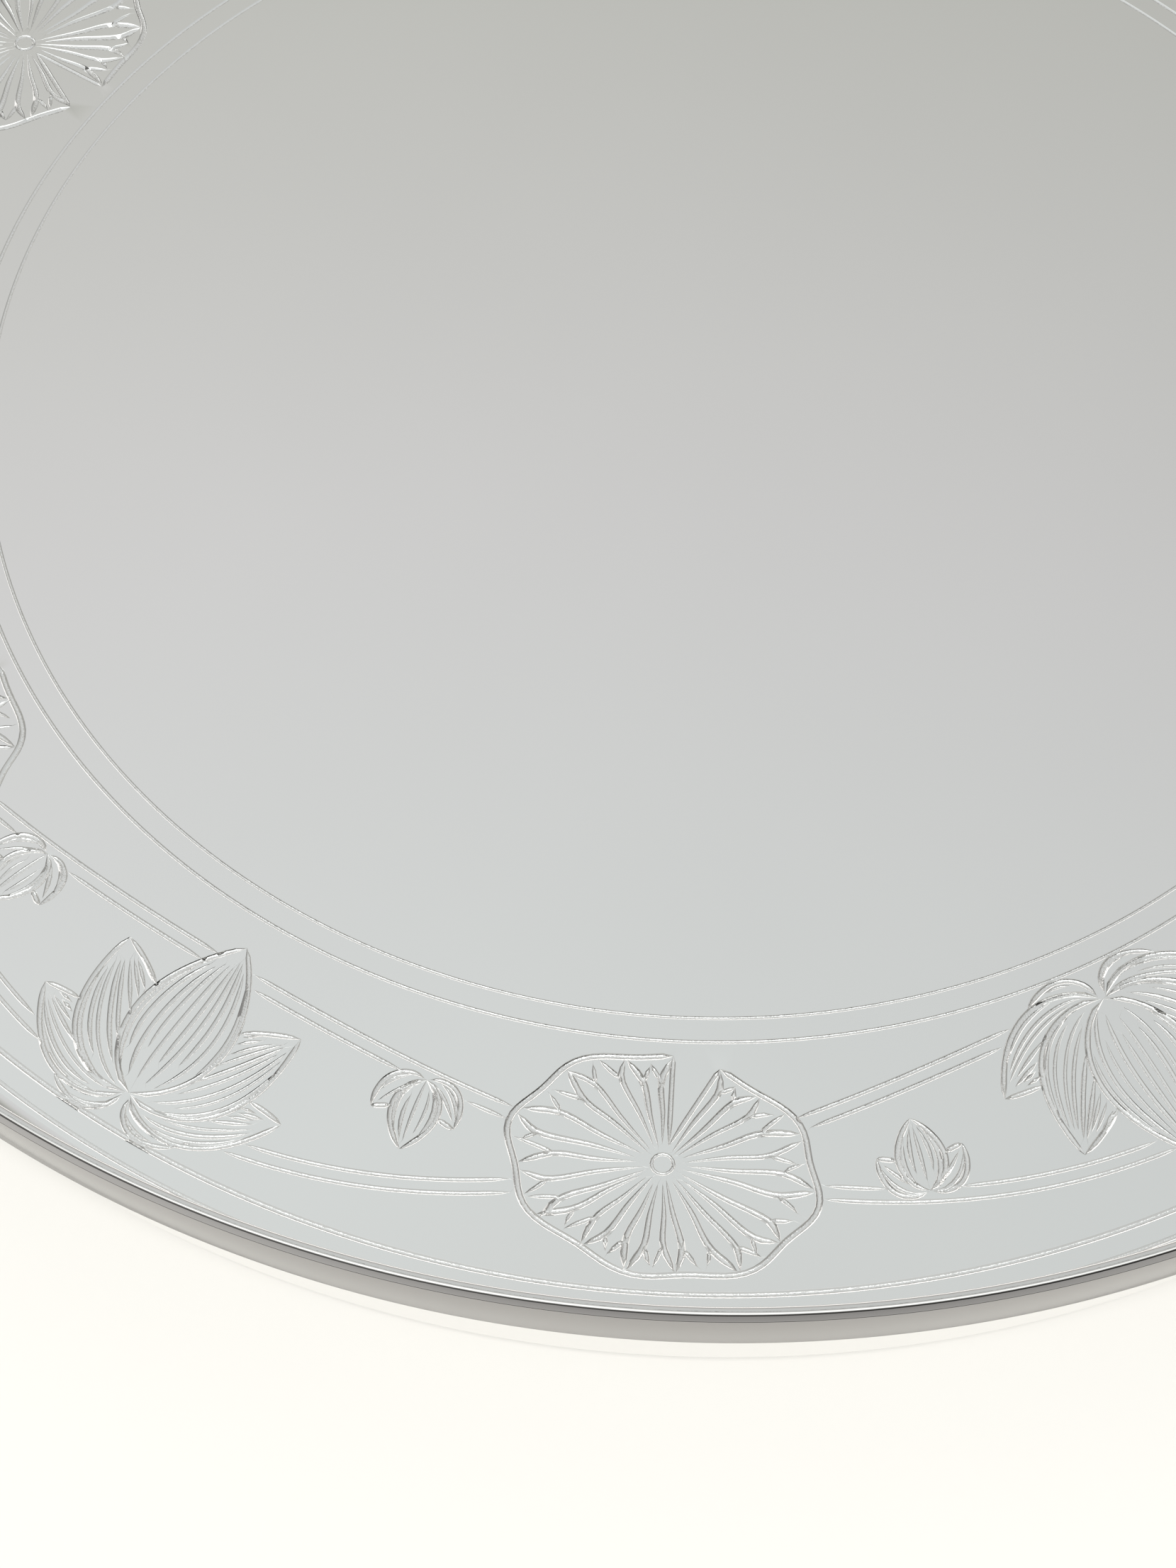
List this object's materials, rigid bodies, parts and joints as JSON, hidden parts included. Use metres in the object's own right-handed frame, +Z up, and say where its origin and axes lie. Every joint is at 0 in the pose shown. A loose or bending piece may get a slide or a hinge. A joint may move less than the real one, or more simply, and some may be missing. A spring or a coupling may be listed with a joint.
{
  "type": "offering plate",
  "caption": "Round mirror-polished metal offering plate with a flat floor, steep wall, banded rim and an engraved lotus border, standing on a low foot ring.",
  "frame": {"origin": "centre of the foot ring's bottom face, on the plate's axis of symmetry", "axes": "+Z up along the axis of symmetry; X and Y in the plane of the table, with +X at zero degrees round the border"},
  "size_m": [0.305, 0.305, 0.0333],
  "materials": {
    "dish_silver": "mirror-polished silver, hand-engraved",
    "rim_silver": "polished silver with fine buffing lines",
    "lip_silver": "mirror-polished silver",
    "foot_silver": "polished silver, worn on the resting face"
  },
  "bodies": {
    "root": {"dish": "dish_silver", "rim_band": "rim_silver", "lip_wire": "lip_silver", "foot_ring": "foot_silver"}
  },
  "joints": []
}
